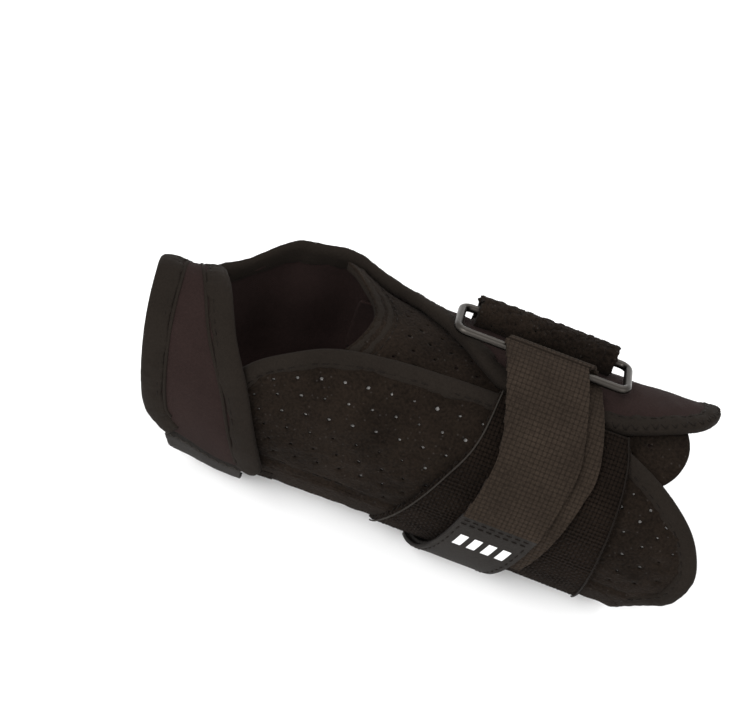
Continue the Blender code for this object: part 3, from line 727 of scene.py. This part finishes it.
def build_band():
    flat = strip_flat(BAND_DISTAL, BAND_PROXIMAL, 200, 260)
    x, s = flat[..., 0], flat[..., 1]
    across = np.linspace(0, 1, 261)[None, :] * np.ones((201, 1))
    ribs = 0.14 * np.sin(2 * math.pi * s / 1.45 + 0.5 * ripple(x, s, 9, 51))
    ribs = ribs * (1 + 0.5 * np.sin(2 * math.pi * x / 1.3 + 0.7 * ripple(x, s, 6, 53)))
    depth = 8.0 + ribs + 0.05 * ripple(x, s, 2.0, 52) + 0.07 * grain(x.shape, 57)
    depth = np.minimum(depth, 8.45) - 0.5 * (1 - ramp(across, 0.0, 0.02))
    sheet_look("closure_band_look", flat, depth, 1.3, LOOPS, SHELL, ("closure_band",))
    for name, outline, way in (("distal", BAND_DISTAL, 1), ("proximal", BAND_PROXIMAL, -1)):
        line = resample(on_arc(outline), 120)
        line = line + np.array([0.5 * way, 0])
        roll_look("closure_band_edge_" + name, line, (35.0, 40.0), SHELL, (), 0.2, 0.24, 8.5, 0.24,
                  PALE_THREAD if way == 1 else THREAD, 55, 0.02, spacing=0.6)


def weave(x, s):
    """Height of woven cords: ribs both ways, a little uneven."""
    a = np.abs(np.sin(math.pi * x / CORD_PITCH_X + 0.15 * ripple(x, s, 9, 71)))
    b = np.abs(np.sin(math.pi * s / CORD_PITCH_S))
    return CORD_HEIGHT * (0.5 * a ** 0.6 + 0.6 * b ** 0.8)


def under_depth(angle):
    return UNDER_RUN_DEPTH - 1.3 * ramp(14.0 - angle, 0, 18)


def tail_depth(angle):
    return TAIL_DEPTH + 1.7 * ramp(26.0 - angle, 0, 30)


def build_strap_runs():
    flat = strip_flat(UNDER_LEFT, UNDER_RIGHT, 240, 96)
    x, s = flat[..., 0], flat[..., 1]
    depth = under_depth(angle_of(s)) + 0.55 + weave(x, s)
    item = sheet_look("strap_under_look", flat, depth, 1.25, WEBBING, None,
                      ("strap_under_run",))
    blend_piece(item)
    flat = strip_flat([TAIL_TOP_LEFT] + edge_between(TAIL_LEFT, -6, TAB_START),
                      [TAIL_TOP_RIGHT] + edge_between(TAIL_RIGHT, -6, TAB_START), 200, 180)
    x, s = flat[..., 0], flat[..., 1]
    depth = tail_depth(angle_of(s)) + 0.60 + weave(x, s)
    sheet_look("strap_tail_look", flat, depth, 1.35, WEBBING, "strap", ("strap_tail",))


def build_hook_tab():
    flat = strip_flat(edge_between(TAIL_LEFT, TAB_START, TAB_END),
                      edge_between(TAIL_RIGHT, TAB_START, TAB_END), 150, 90)
    x, s = flat[..., 0], flat[..., 1]
    depth = 11.75 + 0.5 * (1 - ramp(angle_of(s), 73, 75.5)) + 0.05 * ripple(x, s, 12, 61)
    sheet_look("strap_hook_tab_look", flat, depth, 1.2, HOOK, "strap", ("strap_hook_tab",))
    left = [(x + HOOK_PAD_MARGIN, a) for x, a in edge_between(TAIL_LEFT, HOOK_PAD_START, HOOK_PAD_END)]
    right = [(x - HOOK_PAD_MARGIN, a) for x, a in edge_between(TAIL_RIGHT, HOOK_PAD_START, HOOK_PAD_END)]
    flat = strip_flat(left, right, 110, 80)
    depth = 9.95 + 0.25 * np.abs(grain(flat.shape[:2], 63))
    sheet_look("strap_hook_pad_look", flat, depth, 1.0, HOOK, "strap", ("strap_hook_pad",))


def build_tab_stitching():
    for k, at in enumerate((74.8, 77.6)):
        start = (x_at(TAIL_LEFT, at) + 1.2, arc_of(at))
        end = (x_at(TAIL_RIGHT, at) - 1.2, arc_of(at))
        line = np.linspace(start, end, 20)
        stitches_look(f"strap_seam_{k + 1}", line, 12.35 - 0.35 * k, "strap", length=1.8, gap=0.7)
    for side, outline, margin in (("left", TAIL_LEFT, 1.6), ("right", TAIL_RIGHT, -1.6)):
        line = resample(on_arc(edge_between(outline, 80, 143)), 50)
        line[:, 0] += margin
        stitches_look("strap_tab_stitching_" + side, line, 11.8, "strap", length=2.0, gap=0.9)


def build_strap():
    build_strap_runs()
    build_hook_tab()
    build_tab_stitching()
    build_bars()


def build_bars():
    """Plain pale bars that stand in for printing on the tab."""
    across, angle = np.meshgrid(np.linspace(0, BAR_WIDTH, 14), np.linspace(BAR_START, BAR_END, 26),
                                indexing="ij")
    for k in range(4):
        x = x_at(TAIL_LEFT, angle) + BAR_MARGIN + BAR_STEP * k + across
        grid = np.stack([x, arc_of(angle)], -1)
        sheet_look(f"tab_bar_{k + 1}", grid, 11.92 + 0 * angle, 0.12, PRINT, "strap")


def blend_piece(item):
    """Closes the piece's wall into its mesh, then bakes its placement into its points."""
    wall_to_mesh(item)
    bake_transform(item)


def wall_to_mesh(item):
    view = bpy.context.evaluated_depsgraph_get()
    shown = item.evaluated_get(view)
    made = bpy.data.meshes.new_from_object(shown, preserve_all_data_layers=True, depsgraph=view)
    item.modifiers.clear()
    item.data = made


def bar_centre(bar):
    """Place of a ring bar's centre line across the limb, in millimetres."""
    return limb(25.0, *bar)[1:] / MM


def loop_arc(bar, radius, begin, end, steps):
    """Arc round a bar in the cross-section; 0 is towards the palm, 90 towards the thumb side."""
    centre = bar_centre(bar)
    turn = np.radians(np.linspace(begin, end, steps + 1))
    return np.stack([centre[0] + radius * np.cos(turn), centre[1] + radius * np.sin(turn)], axis=1)


def profile_sheet(name, profile, left, right, thick, material, body, nodes, bumps, nu, nv):
    """Sheet along a (y, z) profile in millimetres, between two x edges; profile is its outer face."""
    line = resample(profile, nu + 1)
    along = np.gradient(line, axis=0)
    along /= np.linalg.norm(along, axis=1)[:, None]
    normal = np.stack([along[:, 1], -along[:, 0]], axis=1)
    run = np.linspace(0, length_of(line), nu + 1)
    t = np.linspace(0, 1, nu + 1)[:, None]
    v = np.linspace(0, 1, nv + 1)[None, :]
    x0 = left[0] + (left[1] - left[0]) * t
    x1 = right[0] + (right[1] - right[0]) * t
    x = x0 + (x1 - x0) * v
    s = np.broadcast_to(run[:, None], x.shape)
    lift = bumps(x, s, v)
    y = line[:, 0:1] + normal[:, 0:1] * lift
    z = line[:, 1:2] + normal[:, 1:2] * lift
    points = np.stack([(x + ORIGIN_X) * MM, y * MM, z * MM], axis=-1).reshape(-1, 3)
    out = np.array([0, normal[nu // 2, 0], normal[nu // 2, 1]])
    faces = grid_faces(nu + 1, nv + 1, faces_out(points, nu + 1, nv + 1, out))
    uv = np.stack([x, s], -1).reshape(-1, 2)
    item = finish_mesh(name, points, faces, uv, material, body, nodes)
    close(item, thick)
    return item


def build_fold():
    profile = loop_arc(FRONT_BAR, WIRE_RADIUS + LOOP_CLEARANCE + 0.95, 83, -104, 16)

    def bumps(x, s, v):
        return weave(x, s) - 0.1

    item = profile_sheet("strap_fold_look", profile, (13.4, 19.0), (40.5, 46.7), 1.3, WEBBING,
                         None, ("strap_fold",), bumps, 60, 110)
    wall_to_mesh(item)
    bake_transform(item)


def build_ring_tab():
    outer = WIRE_RADIUS + LOOP_CLEARANCE + 1.6
    lower = [limb(25.0, a, d)[1:] / MM for a, d in ((-60, 6.4), (-54, 6.4), (-48, 6.4))]
    bight = loop_arc(REAR_BAR, outer, 236, 60, 14)
    upper = [limb(25.0, a, d)[1:] / MM for a, d in (
        (-45, 12.6), (-52, 11.3), (-60, 10.7), (-68, 10.1), (-78, 9.0), (-88, 8.5), (-98, 8.4),
        (-108, 8.4), (-118, 8.4), (-127, 8.4), (-135, 8.3))]
    profile = np.vstack([lower, bight, upper])

    def bumps(x, s, v):
        across = np.sin(math.pi * v) ** 0.15
        lump = 0.20 * ripple(x, s, 3.6, 81) + 0.16 * ripple(x, s, 1.8, 82) + 0.10 * grain(x.shape, 83)
        hollow = 0.35 * ridge(s, 30, 2) + 0.5 * ridge(s, 38, 2.5)
        return (lump - hollow) * across * ramp(s, 12, 20) + 0.2 * across

    profile_sheet("ring_tab_look", profile, (3.0, 3.0), (49.0, 49.0), 1.6, PILE,
                  SHELL, ("ring_tab",), bumps, 330, 150)


def build_ring():
    rear, front = bar_centre(REAR_BAR), bar_centre(FRONT_BAR)
    across = float(np.linalg.norm(front - rear))
    way = (front - rear) / across
    path = []
    corners = (
        (RING_START, 0.0, 180), (RING_END, 0.0, 270),
        (RING_END, across, 0), (RING_START, across, 90),
    )
    for x, t, begin in corners:
        cx = x + RING_CORNER if x < 0 else x - RING_CORNER
        ct = t + RING_CORNER if t == 0.0 else t - RING_CORNER
        for turn in np.radians(begin + np.linspace(0, 90, 10)):
            px, pt = cx + RING_CORNER * math.cos(turn), ct + RING_CORNER * math.sin(turn)
            spot = rear + way * pt
            path.append((px + ORIGIN_X, spot[0], spot[1]))
    path = np.array(path)
    curve = bpy.data.curves.new("strap_ring_look", "CURVE")
    curve.dimensions = "3D"
    curve.bevel_depth = (WIRE_RADIUS - 0.25) * MM
    curve.bevel_resolution = 8
    line = curve.splines.new("POLY")
    line.points.add(len(path) - 1)
    for spot, point in zip(line.points, path):
        spot.co = (*(point * MM), 1)
    line.use_cyclic_u = True
    item = bpy.data.objects.new("strap_ring_look", curve)
    bpy.context.scene.collection.objects.link(item)
    curve.materials.append(NICKEL)
    curve.splines[0].use_smooth = True
    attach(item, "ring")
    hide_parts("strap_ring")


# ---------------------------------------------------------------- web strap
def build_web_strap():
    front = resample(on_arc(edge_between(WEB_FRONT, *WEB_SEAM)), 90)
    rear = resample(on_arc(edge_between(WEB_REAR, *WEB_SEAM)), 90)
    low = front + inward(front, WEB_FRONT_INSIDE) * 2.4
    high = rear + inward(rear, WEB_REAR_INSIDE) * 2.4
    flat = coons(low, high, np.linspace(low[0], high[0], 6), np.linspace(low[-1], high[-1], 6), 150, 70)
    x, s = flat[..., 0], flat[..., 1]
    puff = 0.45 * np.sin(math.pi * np.linspace(0, 1, 71)[None, :]) ** 0.5
    depth = 9.45 + puff + 0.08 * ripple(x, s, 22, 91) + 0.02 * grain(x.shape, 93)
    sheet_look("web_strap_face", flat, depth, 2.0, KNIT, "web_strap", ("web_strap",),
               shape=web_limb)
    for name, rim, inside, seed in (
        ("front", front, WEB_FRONT_INSIDE, 95),
        ("rear", rear, WEB_REAR_INSIDE, 96),
    ):
        roll_look(f"web_strap_{name}_roll", rim, inside, "web_strap", (f"web_strap_{name}_binding",),
                  3.6, 3.9, 9.0, 2.0, seed=seed, crease=0.30, pucker=0.06, shape=web_limb)
        line = (rim + inward(rim, inside) * 5.7)[1:-4]
        stitches_look(f"web_strap_{name}_stitching", line, 10.45, "web_strap", shape=web_limb)
        line = resample(rim + inward(rim, inside) * 7.9, 90)[2:-5]
        roll_look(f"web_strap_{name}_cord", line, inside, "web_strap", (), 0.0, 0.55, 9.85, 0.5,
                  seed=seed + 10, pucker=0.03, shape=web_limb)


def build_web_root():
    flat = strip_flat(WEB_ROOT_LEFT, WEB_ROOT_RIGHT, 40, 50)
    item = sheet_look("web_strap_root_look", flat, 9.3 + 0 * flat[..., 0], 1.5, KNIT, None,
                      ("web_strap_root",), shape=web_limb)
    blend_piece(item)


def build_web_tab():
    flat = strip_flat(WEB_TAB_LEFT, WEB_TAB_RIGHT, 80, 60)
    x, s = flat[..., 0], flat[..., 1]
    depth = 9.9 - 1.9 * ramp(109.0 - angle_of(s), 0, 4) + 0.08 * ripple(x, s, 8, 97)
    sheet_look("web_strap_tab_look", flat, depth, 1.2, HOOK, "web_strap",
               ("web_strap_hook_tab",))
    flat = strip_flat(WEB_PAD_LEFT, WEB_PAD_RIGHT, 60, 50)
    depth = 8.3 + 0.2 * np.abs(grain(flat.shape[:2], 98))
    sheet_look("web_strap_pad_look", flat, depth, 0.7, HOOK, "web_strap",
               ("web_strap_hook_pad",))
    flat = strip_flat(LANDING_LEFT, LANDING_RIGHT, 60, 60)
    depth = 7.0 + 0.15 * grain(flat.shape[:2], 99)
    sheet_look("web_landing_look", flat, depth, 0.6, LOOPS, SHELL, ("web_strap_landing",))
    line = np.stack([np.linspace(-77, -49, 30), np.full(30, arc_of(105.6))], axis=1)
    stitches_look("web_strap_zigzag", line, 10.2, "web_strap", PALE_THREAD, length=1.5, gap=0.1, zigzag=0.7)


build_dorsal()
build_stay_cover()
build_volar()
build_tongue()
build_stays()
build_seam_tape()
build_band()
build_strap()
build_fold()
build_ring_tab()
build_ring()
build_web_strap()
build_web_root()
build_web_tab()


def build_studio():
    mesh = bpy.data.meshes.new("floor")
    mesh.from_pydata([(-3, -3, 0), (3, -3, 0), (3, 3, 0), (-3, 3, 0)], [], [(0, 1, 2, 3)])
    floor = bpy.data.objects.new("floor", mesh)
    bpy.context.scene.collection.objects.link(floor)
    made = bpy.data.materials.new("floor_look")
    made.use_nodes = True
    shader = made.node_tree.nodes["Principled BSDF"]
    shader.inputs["Base Color"].default_value = (0.97, 0.97, 0.97, 1)
    shader.inputs["Roughness"].default_value = 0.9
    floor.data.materials.append(made)
    world = bpy.data.worlds.new("studio")
    bpy.context.scene.world = world
    world.use_nodes = True
    sky = world.node_tree.nodes["Background"]
    sky.inputs["Color"].default_value = (1, 1, 1, 1)
    sky.inputs["Strength"].default_value = 0.95
    for name, spot, size, power in (
        ("key", (-0.45, -0.55, 0.95), 0.6, 9.0),
        ("fill", (0.8, -0.5, 0.7), 0.9, 3.5),
        ("back", (0.1, 0.8, 0.8), 0.8, 4.0),
    ):
        light = bpy.data.lights.new(name, "AREA")
        light.size = size
        light.energy = power
        lamp = bpy.data.objects.new(name, light)
        bpy.context.scene.collection.objects.link(lamp)
        lamp.location = spot
        lamp.rotation_euler = (Vector((0, 0, 0.04)) - Vector(spot)).to_track_quat("-Z", "Y").to_euler()


CAMERA_ELEVATION = 55.0
CAMERA_ROLL = -20.6
CAMERA_LENS, CAMERA_SENSOR = 85.0, 36.0
VIEW_WIDTH = 241.042
VIEW_MIDDLE = (0.2, 1.8, 37.0)
VIEW_SHIFT_RIGHT, VIEW_SHIFT_UP = -18.241, 20.358


def build_camera():
    """Camera over the back of the hand, turned so the forearm runs down to the right."""
    data = bpy.data.cameras.new("camera")
    data.sensor_width = CAMERA_SENSOR
    data.lens = CAMERA_LENS
    camera = bpy.data.objects.new("camera", data)
    bpy.context.scene.collection.objects.link(camera)
    rise, tilt = math.radians(CAMERA_ELEVATION), math.radians(CAMERA_ROLL)
    back = Vector((0, -math.cos(rise), math.sin(rise)))
    up = Vector((0, math.sin(rise), math.cos(rise)))
    right = Vector((1, 0, 0))
    turned_right = right * math.cos(tilt) - up * math.sin(tilt)
    turned_up = up * math.cos(tilt) + right * math.sin(tilt)
    shift = turned_right * VIEW_SHIFT_RIGHT + turned_up * VIEW_SHIFT_UP
    distance = CAMERA_LENS / CAMERA_SENSOR * VIEW_WIDTH
    place = (Vector(VIEW_MIDDLE) + shift + back * distance) * MM
    turn = Matrix((turned_right, turned_up, back)).transposed()
    camera.matrix_world = Matrix.Translation(place) @ turn.to_4x4()
    bpy.context.scene.camera = camera


build_studio()
build_camera()
bpy.context.scene.view_settings.view_transform = "Standard"
